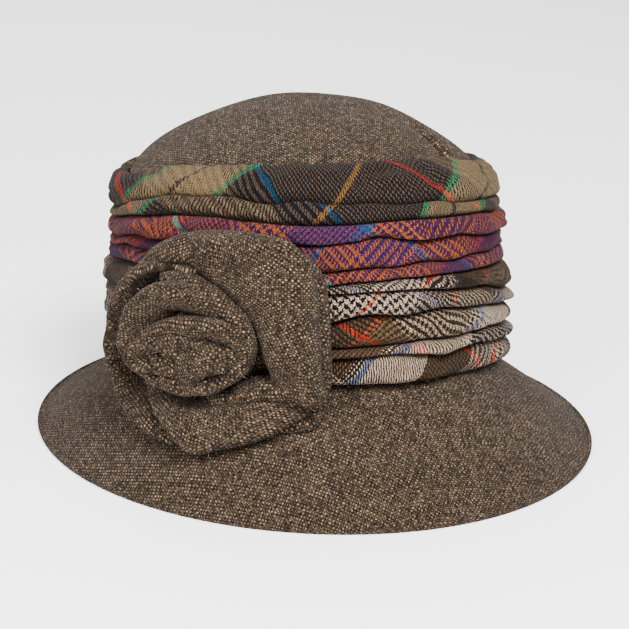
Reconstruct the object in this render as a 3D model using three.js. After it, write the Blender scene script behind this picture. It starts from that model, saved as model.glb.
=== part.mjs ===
// A cloche hat of brown tweed: a deep round crown, a brim that slopes down all round, three wide
// bands of gathered checked cloth wound about the crown, and a big tweed rose at one side.
//
// Millimetres, +Z up. The hat stands on its brim, the front is -Y and the wearer's left is +X.
// The origin is on the floor below the middle of the brim's edge.
//
// A direction is an angle about the crown in degrees, 0 at the front and growing towards the
// wearer's left. A turn is an angle about the rose, 0 at its right and growing upwards.

import * as THREE from 'three';

// Crown
const CROWN_HALF_WIDTH = 84;
const CROWN_HALF_LENGTH = 100;
const CROWN_SET_BACK = 7;
const SHOULDER_HEIGHT = 116;
const DOME_RISE = 44.5;
const DOME_FULLNESS = 1.4;
const CROWN_LEAN = 8.5;

// Brim
const BRIM_HALF_WIDTH = 131;
const BRIM_HALF_LENGTH = 152;
const SEAM_FRONT_HEIGHT = 48;
const SEAM_BACK_HEIGHT = 19;

// Cloth, and the room between two pieces that are sewn together
const CROWN_WALL = 2;
const BRIM_EDGE_WIDTH = 2.8;
const SEWN_GAP = 0.3;
const BAND_GAP = 0.5;

// Bands from the brim upwards: the height of each at the front, and how far its folds stand out
const LOWER_BAND_WIDTH = 51;
const LOWER_BAND_DEPTH = 11.5;
const MIDDLE_BAND_WIDTH = 24.5;
const MIDDLE_BAND_DEPTH = 9;
const UPPER_BAND_WIDTH = 22;
const UPPER_BAND_DEPTH = 6.5;

// Rose: its place on the hat, half its size across the petals, and the height of its layers
const ROSE_DIRECTION = -55;
const ROSE_HEIGHT = 76;
const ROSE_HALF_SIZE = 54;
const PETAL_CLOTH = 2.5;
const PETAL_RISE = 17;
const LOW_PETAL_RISE = 12;
const PETAL_ROOT_RADIUS = 26.5;
const COIL_HALF_SIZE = 29;
const COIL_CLOTH = 4.5;
const COIL_RISE = 33;
const HEART_HALF_SIZE = 7;
const HEART_CLOTH = 2.5;
const HEART_RISE = 36;

// How finely the shapes are cut
const STEPS_AROUND = 48;
const WALL_STEPS = 3;
const DOME_STEPS = 6;
const FLATTEST_DOME_ANGLE = 84;
const LOWER_BAND_INNER_STEPS = 3;
const MIDDLE_BAND_INNER_STEPS = 5;
const UPPER_BAND_INNER_STEPS = 6;
const BASE_PETAL_STEPS = 24;
const BASE_PETAL_ROWS = 4;
const LONG_PETAL_STEPS = 14;
const SHORT_PETAL_STEPS = 7;
const COIL_STEPS = 36;
const HEART_STEPS = 16;
const COIL_ROWS = 3;
const NORMAL_NUDGE = 0.002;

const RADIANS = Math.PI / 180;
const FULL_TURN = 360;

// Lines between the cloths, a row for each direction. Column seam is a share of the way from the
// seam's height at the back to that at the front. Columns lower, middle and upper are the height of
// each band there, as a share of its height at the front.
const LINES = [
  { direction: -180, seam: 0.0, lower: 1.08, middle: 0.98, upper: 1.0 },
  { direction: -145, seam: 0.1, lower: 1.12, middle: 0.92, upper: 0.94 },
  { direction: -110, seam: 0.36, lower: 1.09, middle: 0.84, upper: 0.9 },
  { direction: -85, seam: 0.6, lower: 1.1, middle: 0.96, upper: 0.94 },
  { direction: -60, seam: 0.86, lower: 1.02, middle: 1.08, upper: 0.88 },
  { direction: -30, seam: 1.06, lower: 0.92, middle: 1.06, upper: 1.0 },
  { direction: 0, seam: 1.02, lower: 1.0, middle: 0.96, upper: 1.0 },
  { direction: 30, seam: 0.9, lower: 0.97, middle: 1.04, upper: 1.02 },
  { direction: 60, seam: 0.59, lower: 1.0, middle: 1.08, upper: 0.9 },
  { direction: 105, seam: 0.3, lower: 1.05, middle: 1.0, upper: 0.88 },
  { direction: 145, seam: 0.1, lower: 1.09, middle: 0.98, upper: 0.98 },
];

// The brim between the seam and its edge. Column across is the share of the way outwards, and drop
// the share of the way down to the floor.
const BRIM_ROWS = [
  { across: 0.0, drop: 0.0 },
  { across: 0.12, drop: 0.08 },
  { across: 0.32, drop: 0.26 },
  { across: 0.54, drop: 0.49 },
  { across: 0.78, drop: 0.76 },
  { across: 1.0, drop: 1.0 },
];

// Folds of each band from the bottom up. Column base is the share of the band's height where the
// fold starts, and it wanders by sway, as many times round the crown as waves says and highest
// towards one direction. Column depth is how far the fold stands out, as a share of the band's, and
// slack is the share of that which it loses where it is tightest.
const LOWER_FOLDS = [
  { base: 0.0, sway: 0.0, waves: 1, towards: 0, depth: 0.88, slack: 0.0 },
  { base: 0.26, sway: 0.03, waves: 2, towards: -10, depth: 0.98, slack: 0.0 },
  { base: 0.4, sway: 0.02, waves: 3, towards: 30, depth: 1.0, slack: 0.08 },
  { base: 0.63, sway: 0.06, waves: 3, towards: 5, depth: 0.98, slack: 0.06 },
  { base: 0.84, sway: 0.1, waves: 2, towards: -20, depth: 1.0, slack: 0.1 },
];
const MIDDLE_FOLDS = [
  { base: 0.0, sway: 0.0, waves: 1, towards: 0, depth: 0.96, slack: 0.2 },
  { base: 0.3, sway: 0.07, waves: 2, towards: 80, depth: 0.9, slack: 0.25 },
  { base: 0.66, sway: 0.12, waves: 2, towards: -15, depth: 1.0, slack: 0.2 },
];
const UPPER_FOLDS = [
  { base: 0.0, sway: 0.0, waves: 1, towards: 0, depth: 0.94, slack: 0.3 },
  { base: 0.3, sway: 0.08, waves: 2, towards: -40, depth: 1.0, slack: 0.0 },
];
const TIGHTEST_DIRECTION = 65;
// A fold rises steeply from its base: step is the share of the fold's height, out of its depth
const FOLD_SECTION = [
  { step: 0.12, out: 0.78 },
  { step: 0.45, out: 1.0 },
];
const CREASE_DEPTH = 0.35;

// Outlines of the petals, a row for each turn about the rose. Column reach is the distance from the
// middle, as a share of the rose's half size.
const OUTER_PETAL = [
  { turn: -25, reach: 1.06 },
  { turn: 0, reach: 1.0 },
  { turn: 22, reach: 1.12 },
  { turn: 40, reach: 1.18 },
  { turn: 58, reach: 1.06 },
  { turn: 78, reach: 0.84 },
  { turn: 100, reach: 0.73 },
  { turn: 122, reach: 0.66 },
];
const LEFT_PETAL = [
  { turn: 126, reach: 0.64 },
  { turn: 150, reach: 0.67 },
  { turn: 175, reach: 0.76 },
  { turn: 197, reach: 0.88 },
  { turn: 212, reach: 0.95 },
];
const LOWER_PETAL = [
  { turn: 216, reach: 1.0 },
  { turn: 240, reach: 0.98 },
  { turn: 267, reach: 1.0 },
  { turn: 291, reach: 0.98 },
  { turn: 314, reach: 1.06 },
  { turn: 331, reach: 1.14 },
];
const BASE_PETAL = [
  { turn: -180, reach: 0.6 },
  { turn: -135, reach: 0.56 },
  { turn: -90, reach: 0.52 },
  { turn: -45, reach: 0.66 },
  { turn: 0, reach: 1.04 },
  { turn: 45, reach: 1.0 },
  { turn: 90, reach: 0.66 },
  { turn: 135, reach: 0.56 },
];
// Section of a petal from its root beside the coil to its rim, rolled under. Column reach is a
// share of the way out to the rim, and rise a share of the petal's rise.
const PETAL_SECTION = [
  { reach: 0.0, rise: 0.0 },
  { reach: 0.06, rise: 0.62 },
  { reach: 0.3, rise: 0.98 },
  { reach: 0.68, rise: 0.96 },
  { reach: 0.93, rise: 0.74 },
  { reach: 1.0, rise: 0.42 },
  { reach: 0.93, rise: 0.12 },
];
const ROSE_LEAN_BELOW = 30;
const ROSE_LEAN = 0.7;
const COIL_TURNS = 1.7;
const COIL_INNER = 0.5;
const COIL_FOOT = 0.62;
const COIL_FLATNESS = 0.92;
const COIL_START_TURN = 200;
const HEART_TURNS = 1.15;
const HEART_INNER = 0.4;
const HEART_FOOT = 0.8;
const BASE_PETAL_HOLE = 5;

// Colours of the cloths, with a dull, dry finish
const TWEED = { color: 0x67584c, roughness: 0.95, metalness: 0 };
const LOWER_PLAID = { color: 0x6b4f40, roughness: 0.9, metalness: 0 };
const MIDDLE_PLAID = { color: 0x86514a, roughness: 0.9, metalness: 0 };
const UPPER_PLAID = { color: 0x4a4440, roughness: 0.9, metalness: 0 };

// A smooth curve through four values, read between the second and the third
function between(before, start, end, after, at) {
  const span = end.at - start.at;
  const share = (at - start.at) / span;
  const startSlope = (end.value - before.value) / (end.at - before.at);
  const endSlope = (after.value - start.value) / (after.at - start.at);
  const cube = share ** 3;
  const square = share ** 2;
  return (
    (2 * cube - 3 * square + 1) * start.value +
    (cube - 2 * square + share) * span * startSlope +
    (3 * square - 2 * cube) * end.value +
    (cube - square) * span * endSlope
  );
}

// A column of a table whose rows go once round, read at any angle
function readRound(rows, key, column, angle) {
  const first = rows[0][key];
  const at = first + THREE.MathUtils.euclideanModulo(angle - first, FULL_TURN);
  const row = rows.findLastIndex((entry) => entry[key] <= at);
  const entryAt = (index) => {
    const entry = rows[THREE.MathUtils.euclideanModulo(index, rows.length)];
    const laps = Math.floor(index / rows.length);
    return { at: entry[key] + laps * FULL_TURN, value: entry[column] };
  };
  return between(entryAt(row - 1), entryAt(row), entryAt(row + 1), entryAt(row + 2), at);
}

// A column of a table with two ends, read between them
function readAlong(rows, key, column, at) {
  const last = rows.length - 1;
  const row = Math.min(rows.findLastIndex((entry) => entry[key] <= at), last - 1);
  const entryAt = (index) => {
    const entry = rows[THREE.MathUtils.clamp(index, 0, last)];
    return { at: entry[key] + (index < 0 ? -1 : 0) + (index > last ? 1 : 0), value: entry[column] };
  };
  return between(entryAt(row - 1), entryAt(row), entryAt(row + 1), entryAt(row + 2), at);
}

// A closed solid through loops with an even number of points each, joined in order. A round one
// joins its last loop to its first, and any other gets a flat strip across each end loop.
function skin(loops, isRound) {
  const count = loops[0].length;
  const last = loops.length - 1;
  const corners = [];
  const index = (loop, point) => (loop % loops.length) * count + (point % count);
  const addQuad = (a, b, c, d) => corners.push(a, b, c, a, c, d);
  for (let loop = 0; loop < (isRound ? loops.length : last); loop += 1) {
    for (let point = 0; point < count; point += 1) {
      const next = point + 1;
      addQuad(index(loop, point), index(loop, next), index(loop + 1, next), index(loop + 1, point));
    }
  }
  if (!isRound) {
    for (let near = 0; near < count / 2 - 1; near += 1) {
      const far = count - 1 - near;
      addQuad(index(0, near), index(0, far), index(0, far - 1), index(0, near + 1));
      addQuad(index(last, near), index(last, near + 1), index(last, far - 1), index(last, far));
    }
  }
  const points = loops.flat();
  if (signedVolume(points, corners) < 0) corners.reverse();
  const geometry = new THREE.BufferGeometry().setFromPoints(points);
  geometry.setIndex(corners);
  geometry.computeVertexNormals();
  return geometry;
}

// Six times the volume inside a closed mesh, negative where its faces point in
function signedVolume(points, corners) {
  let volume = 0;
  for (let corner = 0; corner < corners.length; corner += 3) {
    const [a, b, c] = corners.slice(corner, corner + 3).map((index) => points[index]);
    volume += a.dot(new THREE.Vector3().crossVectors(b, c));
  }
  return volume;
}

// A sheet with a thickness, about a middle surface given by place(across, along), both from 0 to 1
function sheet(place, acrossSteps, alongSteps, thickness, isRound) {
  const faceAt = (across, along, side) => {
    const point = place(across, along);
    const nudged = (acrossBy, alongBy) =>
      place(across + acrossBy, along + alongBy).sub(place(across - acrossBy, along - alongBy));
    const overAcross = nudged(NORMAL_NUDGE, 0);
    const overAlong = nudged(0, NORMAL_NUDGE);
    const normal = overAcross.cross(overAlong).normalize();
    return point.addScaledVector(normal, (side * thickness) / 2);
  };
  const loopCount = isRound ? alongSteps : alongSteps + 1;
  const loops = Array.from({ length: loopCount }, (_, step) => {
    const along = step / alongSteps;
    const acrossShares = Array.from({ length: acrossSteps + 1 }, (_unused, row) => row / acrossSteps);
    const front = acrossShares.map((across) => faceAt(across, along, 1));
    const back = acrossShares.map((across) => faceAt(across, along, -1)).reverse();
    return [...front, ...back];
  });
  return skin(loops, isRound);
}

// Directions of the sections all round the crown
const DIRECTIONS = Array.from(
  { length: STEPS_AROUND },
  (_, step) => (step * FULL_TURN) / STEPS_AROUND,
);

function seamHeight(direction) {
  const share = readRound(LINES, 'direction', 'seam', direction);
  return SEAM_BACK_HEIGHT + (SEAM_FRONT_HEIGHT - SEAM_BACK_HEIGHT) * share;
}

function lowerBandTop(direction) {
  return seamHeight(direction) + LOWER_BAND_WIDTH * readRound(LINES, 'direction', 'lower', direction);
}

function middleBandTop(direction) {
  const width = MIDDLE_BAND_WIDTH * readRound(LINES, 'direction', 'middle', direction);
  return lowerBandTop(direction) + width;
}

function upperBandTop(direction) {
  return middleBandTop(direction) + UPPER_BAND_WIDTH * readRound(LINES, 'direction', 'upper', direction);
}

// A point at a distance from the crown's outer face, upright up to the shoulder. Above it the dome
// closes in, and its top leans forwards.
function onCrown(direction, height, out) {
  const climb = THREE.MathUtils.clamp((height - SHOULDER_HEIGHT) / DOME_RISE, 0, 1);
  const share = Math.sqrt(1 - climb ** DOME_FULLNESS);
  const x = CROWN_HALF_WIDTH * share * Math.sin(direction * RADIANS);
  const y = -CROWN_HALF_LENGTH * share * Math.cos(direction * RADIANS);
  const slope = new THREE.Vector3(
    (2 * x) / CROWN_HALF_WIDTH ** 2,
    (2 * y) / CROWN_HALF_LENGTH ** 2,
    (DOME_FULLNESS * climb ** (DOME_FULLNESS - 1)) / DOME_RISE,
  );
  const middle = CROWN_SET_BACK - CROWN_LEAN * climb;
  return new THREE.Vector3(x, y + middle, height).addScaledVector(slope.normalize(), out);
}

// The same about an upright wall with no dome, which the rose is wound on
function onWall(direction, height, out) {
  return onCrown(direction, SHOULDER_HEIGHT, out).setZ(height);
}

// One shell of cloth, open at the seam
function crownGeometry() {
  const wallRing = (share, out) =>
    DIRECTIONS.map((direction) => {
      const height = THREE.MathUtils.lerp(seamHeight(direction), SHOULDER_HEIGHT, share);
      return onCrown(direction, height, out);
    });
  const domeRing = (share, out) => {
    const height = SHOULDER_HEIGHT + DOME_RISE * Math.sin(share * FLATTEST_DOME_ANGLE * RADIANS);
    return DIRECTIONS.map((direction) => onCrown(direction, height, out));
  };
  const faceRings = (out) => [
    ...Array.from({ length: WALL_STEPS }, (_, step) => wallRing(step / WALL_STEPS, out)),
    ...Array.from({ length: DOME_STEPS + 1 }, (_, step) => domeRing(step / DOME_STEPS, out)),
  ];
  return skin([...faceRings(0).reverse(), ...faceRings(-CROWN_WALL)], false);
}

// One ring of cloth from the seam down to an edge that lies flat on the floor
function brimGeometry() {
  const section = (direction) => {
    const top = seamHeight(direction) - SEWN_GAP;
    const seam = onCrown(direction, top, 0);
    const edge = new THREE.Vector3(
      BRIM_HALF_WIDTH * Math.sin(direction * RADIANS),
      -BRIM_HALF_LENGTH * Math.cos(direction * RADIANS),
      0,
    );
    const inwards = new THREE.Vector3(seam.x, seam.y - CROWN_SET_BACK, 0).normalize();
    const upper = BRIM_ROWS.map((row) => {
      const point = seam.clone().lerp(edge, row.across);
      return point.setZ(top * (1 - row.drop));
    });
    const under = upper.map((point) => point.clone().addScaledVector(inwards, -BRIM_EDGE_WIDTH));
    return [...upper, ...under.reverse()];
  };
  return skin(DIRECTIONS.map(section), true);
}

// Heights at which the folds of a band start in one direction, as shares of the band's height
function foldBases(folds, direction) {
  return folds.map((fold) => {
    const wander = Math.cos(fold.waves * (direction - fold.towards) * RADIANS);
    return fold.base + fold.sway * wander;
  });
}

// Heights of a band's inner face, closer together above the crown's shoulder
function innerHeights(bottom, top, steps) {
  const margin = (top - bottom) / (2 * steps);
  const bend = THREE.MathUtils.clamp(SHOULDER_HEIGHT, bottom + margin, top - margin);
  const above = Array.from({ length: steps }, (_, step) => bend + ((top - bend) * step) / (steps - 1));
  return [bottom, ...above];
}

// One ring of gathered cloth, flat on the crown inside and in soft folds outside
function bandGeometry({ bottomAt, topAt, folds, depth, innerSteps }) {
  const section = (direction) => {
    const bottom = bottomAt(direction) + SEWN_GAP / 2;
    const top = topAt(direction) - SEWN_GAP / 2;
    const place = (share, out) =>
      onCrown(direction, THREE.MathUtils.lerp(bottom, top, share), BAND_GAP + out);
    const tightness = Math.max(0, Math.cos((direction - TIGHTEST_DIRECTION) * RADIANS));
    const bases = [...foldBases(folds, direction), 1];
    const outer = folds.flatMap((fold, index) => {
      const foldDepth = (depth - BAND_GAP) * fold.depth * (1 - fold.slack * tightness);
      const height = bases[index + 1] - bases[index];
      const crests = FOLD_SECTION.map((row) =>
        place(bases[index] + row.step * height, foldDepth * row.out),
      );
      return [place(bases[index], depth * CREASE_DEPTH), ...crests];
    });
    const inner = innerHeights(bottom, top, innerSteps).reverse();
    return [
      ...outer,
      place(1, depth * CREASE_DEPTH),
      ...inner.map((height) => onCrown(direction, height, BAND_GAP)),
    ];
  };
  return skin(DIRECTIONS.map(section), true);
}

// A point of the rose, sideways and upwards from its middle along the bands and out from them. Its
// lowest part leans outwards over the brim.
function onRose(sideways, upwards, out) {
  const across = CROWN_HALF_WIDTH * Math.cos(ROSE_DIRECTION * RADIANS);
  const lengthwise = CROWN_HALF_LENGTH * Math.sin(ROSE_DIRECTION * RADIANS);
  const bandRadius = Math.hypot(across, lengthwise) + LOWER_BAND_DEPTH;
  const direction = ROSE_DIRECTION + sideways / bandRadius / RADIANS;
  const lean = ROSE_LEAN * Math.max(0, -upwards - ROSE_LEAN_BELOW);
  return onWall(direction, ROSE_HEIGHT + upwards, LOWER_BAND_DEPTH + SEWN_GAP + out + lean);
}

function onRoseTurn(turn, radius, out) {
  return onRose(radius * Math.cos(turn * RADIANS), radius * Math.sin(turn * RADIANS), out);
}

// The flat petal sewn to the bands, under all the others
function basePetalGeometry() {
  const place = (across, along) => {
    const turn = along * FULL_TURN;
    const rim = ROSE_HALF_SIZE * readRound(BASE_PETAL, 'turn', 'reach', turn);
    return onRoseTurn(turn, THREE.MathUtils.lerp(BASE_PETAL_HOLE, rim, across), PETAL_CLOTH / 2);
  };
  return sheet(place, BASE_PETAL_ROWS, BASE_PETAL_STEPS, PETAL_CLOTH, true);
}

// A petal folded outwards from its root beside the coil, its rim rolled under
function petalGeometry(outline, rise, steps) {
  const root = new THREE.SplineCurve(
    PETAL_SECTION.map((row) => new THREE.Vector2(row.reach, row.rise)),
  );
  const lowest = PETAL_CLOTH + 2 * SEWN_GAP;
  const first = outline[0].turn;
  const last = outline[outline.length - 1].turn;
  const place = (across, along) => {
    const turn = THREE.MathUtils.lerp(first, last, along);
    const rim = ROSE_HALF_SIZE * readAlong(outline, 'turn', 'reach', turn);
    const section = root.getPoint(THREE.MathUtils.clamp(across, 0, 1));
    const radius = THREE.MathUtils.lerp(PETAL_ROOT_RADIUS, rim, section.x);
    return onRoseTurn(turn, radius, lowest + rise * section.y);
  };
  return sheet(place, PETAL_SECTION.length, steps, PETAL_CLOTH, false);
}

// A strip wound into a spiral that stands on the base petal, narrower at its foot
function coilGeometry({ halfSize, innerShare, footShare, rise, turns, cloth, steps }) {
  const flare = (halfSize * (1 - footShare)) / rise;
  const tiltedEdge = (cloth / 2) * (flare / Math.hypot(1, flare));
  const foot = PETAL_CLOTH + SEWN_GAP + tiltedEdge;
  const place = (across, along) => {
    const turn = COIL_START_TURN + FULL_TURN * turns * along;
    const spread = THREE.MathUtils.lerp(footShare, 1, across);
    const radius = (halfSize - cloth / 2) * THREE.MathUtils.lerp(1, innerShare, along) * spread;
    const sideways = radius * Math.cos(turn * RADIANS);
    const upwards = radius * COIL_FLATNESS * Math.sin(turn * RADIANS);
    return onRose(sideways, upwards, foot + (rise - foot) * across);
  };
  return sheet(place, COIL_ROWS, steps, cloth, false);
}

function addPiece(group, name, geometry, finish) {
  const piece = new THREE.Mesh(geometry, new THREE.MeshStandardMaterial(finish));
  piece.name = name;
  group.add(piece);
}

const hat = new THREE.Group();

addPiece(hat, 'crown', crownGeometry(), TWEED);
addPiece(hat, 'brim', brimGeometry(), TWEED);

const bands = [
  {
    name: 'band_lower',
    bottomAt: seamHeight,
    topAt: lowerBandTop,
    folds: LOWER_FOLDS,
    depth: LOWER_BAND_DEPTH,
    innerSteps: LOWER_BAND_INNER_STEPS,
    finish: LOWER_PLAID,
  },
  {
    name: 'band_middle',
    bottomAt: lowerBandTop,
    topAt: middleBandTop,
    folds: MIDDLE_FOLDS,
    depth: MIDDLE_BAND_DEPTH,
    innerSteps: MIDDLE_BAND_INNER_STEPS,
    finish: MIDDLE_PLAID,
  },
  {
    name: 'band_upper',
    bottomAt: middleBandTop,
    topAt: upperBandTop,
    folds: UPPER_FOLDS,
    depth: UPPER_BAND_DEPTH,
    innerSteps: UPPER_BAND_INNER_STEPS,
    finish: UPPER_PLAID,
  },
];
bands.forEach((band) => addPiece(hat, band.name, bandGeometry(band), band.finish));

const longPetal = (outline, rise) => petalGeometry(outline, rise, LONG_PETAL_STEPS);
const shortPetal = (outline, rise) => petalGeometry(outline, rise, SHORT_PETAL_STEPS);
const coil = {
  halfSize: COIL_HALF_SIZE,
  innerShare: COIL_INNER,
  footShare: COIL_FOOT,
  rise: COIL_RISE,
  turns: COIL_TURNS,
  cloth: COIL_CLOTH,
  steps: COIL_STEPS,
};
const heart = {
  halfSize: HEART_HALF_SIZE,
  innerShare: HEART_INNER,
  footShare: HEART_FOOT,
  rise: HEART_RISE,
  turns: HEART_TURNS,
  cloth: HEART_CLOTH,
  steps: HEART_STEPS,
};
addPiece(hat, 'rose_base_petal', basePetalGeometry(), TWEED);
addPiece(hat, 'rose_outer_petal', longPetal(OUTER_PETAL, PETAL_RISE), TWEED);
addPiece(hat, 'rose_left_petal', shortPetal(LEFT_PETAL, PETAL_RISE), TWEED);
addPiece(hat, 'rose_lower_petal', longPetal(LOWER_PETAL, LOW_PETAL_RISE), TWEED);
addPiece(hat, 'rose_coil', coilGeometry(coil), TWEED);
addPiece(hat, 'rose_heart', coilGeometry(heart), TWEED);

export default hat;
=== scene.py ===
# %% [markdown]
# # A cloche of brown tweed with plaid bands and a tweed rose
# The solid model of the hat fixes every size. This notebook dresses it: each plain solid gives way
# to modelled cloth with its folds, its weave and its loose wool.
# The first cell loads the solids and prints their names.

# %% The solids
import math

import bpy
import bmesh
import numpy as np
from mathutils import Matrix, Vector


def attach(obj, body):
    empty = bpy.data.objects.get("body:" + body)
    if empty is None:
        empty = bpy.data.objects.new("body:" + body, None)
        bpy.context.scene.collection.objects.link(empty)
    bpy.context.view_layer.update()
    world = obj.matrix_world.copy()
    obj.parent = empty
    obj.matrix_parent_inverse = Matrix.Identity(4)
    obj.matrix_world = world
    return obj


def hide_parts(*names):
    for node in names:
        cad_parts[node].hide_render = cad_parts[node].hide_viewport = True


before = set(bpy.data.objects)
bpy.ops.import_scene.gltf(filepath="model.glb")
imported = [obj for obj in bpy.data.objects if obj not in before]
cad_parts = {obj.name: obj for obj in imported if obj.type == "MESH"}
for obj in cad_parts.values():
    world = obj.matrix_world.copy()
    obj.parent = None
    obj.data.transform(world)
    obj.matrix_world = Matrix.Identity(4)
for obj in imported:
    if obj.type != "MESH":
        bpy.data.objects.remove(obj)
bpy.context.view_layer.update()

MM = 0.001
print("solids:", sorted(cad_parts))

# %% [markdown]
# ## Camera, floor and light
# The photograph looks at the hat from the wearer's right of the front and a little from above.
# A long lens flattens it, so the camera stands over a metre away.

# %% Camera
VIEW_AZIMUTH = -25.0
VIEW_ELEVATION = 16.62
VIEW_DISTANCE = 1.056
VIEW_SIDE_STEP = 0.00186
VIEW_HEIGHT = 0.054
LENS = 124.8
SENSOR = 36.0

azimuth, elevation = math.radians(VIEW_AZIMUTH), math.radians(VIEW_ELEVATION)
to_camera = Vector((
    math.sin(azimuth) * math.cos(elevation),
    -math.cos(azimuth) * math.cos(elevation),
    math.sin(elevation),
))
aim = Vector((VIEW_SIDE_STEP * math.cos(azimuth), VIEW_SIDE_STEP * math.sin(azimuth), VIEW_HEIGHT))


def add_object(name, data):
    """A new object in the scene."""
    item = bpy.data.objects.new(name, data)
    bpy.context.scene.collection.objects.link(item)
    return item


camera_data = bpy.data.cameras.new("camera")
camera_data.lens = LENS
camera_data.sensor_width = SENSOR
camera = add_object("camera", camera_data)
camera.location = aim + VIEW_DISTANCE * to_camera
camera.rotation_euler = to_camera.to_track_quat("Z", "Y").to_euler()
bpy.context.scene.camera = camera
print("camera at", tuple(round(value, 3) for value in camera.location))

# %% [markdown]
# A studio has large soft lamps, so that the folds keep their shape and the weave shows everywhere.
# The main one stands high in front of the hat, one on the rose's side brightens the petals, and a
# weak one behind lifts the crown off the background.

# %% Floor and lamps
FLOOR_HALF_SIZE = 4.0
FLOOR_COLOUR = (0.86, 0.86, 0.86, 1)
SKY_STRENGTH = 1.2
LAMPS = {
    "key lamp": {"place": (-0.1, -1.25, 1.2), "size": 0.6, "power": 114},
    "left lamp": {"place": (-1.5, -0.8, 0.8), "size": 0.8, "power": 50},
    "back lamp": {"place": (0.2, 1.4, 1.3), "size": 1.2, "power": 30},
}


def add_material(name):
    """A new material with an empty node tree but for its output and one shader."""
    material = bpy.data.materials.new(name)
    material.use_nodes = True
    tree = material.node_tree
    tree.nodes.clear()
    shader = tree.nodes.new("ShaderNodeBsdfPrincipled")
    output = tree.nodes.new("ShaderNodeOutputMaterial")
    tree.links.new(shader.outputs["BSDF"], output.inputs["Surface"])
    return material, tree, shader


def add_lamp(name, place, size, power):
    """A square lamp that faces the middle of the hat."""
    data = bpy.data.lights.new(name, "AREA")
    data.size = size
    data.energy = power
    lamp = add_object(name, data)
    lamp.location = place
    lamp.rotation_euler = (Vector(place) - aim).to_track_quat("Z", "Y").to_euler()


floor_mesh = bpy.data.meshes.new("floor")
corners = [(x * FLOOR_HALF_SIZE, y * FLOOR_HALF_SIZE, 0) for x, y in ((-1, -1), (1, -1), (1, 1), (-1, 1))]
floor_mesh.from_pydata(corners, [], [(0, 1, 2, 3)])
floor = add_object("floor", floor_mesh)
floor_material, floor_tree, floor_shader = add_material("pale floor")
floor_shader.inputs["Base Color"].default_value = FLOOR_COLOUR
floor_shader.inputs["Roughness"].default_value = 0.9
floor_mesh.materials.append(floor_material)

for lamp_name, lamp_values in LAMPS.items():
    add_lamp(lamp_name, **lamp_values)

world = bpy.data.worlds.new("studio")
world.use_nodes = True
sky = world.node_tree.nodes["Background"]
sky.inputs["Color"].default_value = (1, 1, 1, 1)
sky.inputs["Strength"].default_value = SKY_STRENGTH
bpy.context.scene.world = world

# %% [markdown]
# ## Woven cloth as nodes
# A weave is two sets of yarns that pass over and under each other. Each piece has a map called
# `cloth` that says, in metres, where a spot lay on the flat cloth. Nodes count the yarns from it,
# decide which set lies on top, and give that yarn its colour and its rounded back, with painted
# shade where the yarns dip between each other.
# Painting the yarns this way keeps them sharp at any distance and needs no picture.

# %% Small steps for node trees
def feed(tree, socket, value):
    """Joins a socket to the output of another node, or sets it to a plain value."""
    if isinstance(value, bpy.types.NodeSocket):
        tree.links.new(value, socket)
    else:
        socket.default_value = value


def feed_all(tree, node, inputs):
    """Joins or sets the sockets of a node by their names, and gives the node back."""
    for name, value in inputs.items():
        feed(tree, node.inputs[name], value)
    return node


def calc(tree, operation, *values):
    """A Math node. Each value is a number or the output of another node."""
    step = tree.nodes.new("ShaderNodeMath")
    step.operation = operation
    for socket, value in zip(step.inputs, values):
        feed(tree, socket, value)
    return step.outputs["Value"]


def mix_colours(tree, share, first, second, blend="MIX"):
    """The first colour where share is 0 and the second where it is 1."""
    step = tree.nodes.new("ShaderNodeMix")
    step.data_type = "RGBA"
    step.blend_type = blend
    sockets = {socket.identifier: socket for socket in step.inputs}
    for name, value in (("Factor_Float", share), ("A_Color", first), ("B_Color", second)):
        feed(tree, sockets[name], value)
    return next(socket for socket in step.outputs if socket.identifier == "Result_Color")


def shaded(tree, colour, light):
    """A colour times a number from another node, used for painted shade between the yarns and for tones
    that differ at random.
    """
    grey = tree.nodes.new("ShaderNodeCombineColor")
    for socket in grey.inputs:
        tree.links.new(light, socket)
    return mix_colours(tree, 1.0, colour, grey.outputs["Color"], "MULTIPLY")


def colour_ramp(tree, position, stops, stepped=False):
    """Colours by position. A stop is a place from 0 to 1 and a colour."""
    step = tree.nodes.new("ShaderNodeValToRGB")
    step.color_ramp.interpolation = "CONSTANT" if stepped else "LINEAR"
    elements = step.color_ramp.elements
    elements.remove(elements[1])
    elements[0].position, elements[0].color = stops[0][0], (*stops[0][1], 1)
    for place, colour in stops[1:]:
        elements.new(place).color = (*colour, 1)
    tree.links.new(position, step.inputs["Fac"])
    return step.outputs["Color"]


def random_value(tree, first, second):
    """A number from 0 to 1 that is the same all over one yarn or one crossing."""
    pair = feed_all(tree, tree.nodes.new("ShaderNodeCombineXYZ"), {"X": first, "Y": second})
    noise = tree.nodes.new("ShaderNodeTexWhiteNoise")
    noise.noise_dimensions = "2D"
    return feed_all(tree, noise, {"Vector": pair.outputs["Vector"]}).outputs["Value"]


def fine_noise(tree, source, scale, detail=2.0):
    """Cloudy noise over the cloth, scale being how many clouds fit in a metre."""
    noise = tree.nodes.new("ShaderNodeTexNoise")
    return feed_all(tree, noise, {"Scale": scale, "Detail": detail, "Vector": source}).outputs["Fac"]


print("helpers for node trees are ready")

# %% [markdown]
# ### Yarns that cross
# The map's sideways and upwards distances, divided by the yarn's thickness, number the yarns. A slow
# noise bends them, as no hand keeps cloth quite square. The difference of the two numbers says which
# yarn lies on top: after one yarn each for a plain weave, after two for a twill.

# %% Yarns that cross
BENDS_TO_A_YARN = 0.16
YARN_EDGE = 1.02
LOWEST_ARCH = 0.4


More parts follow.
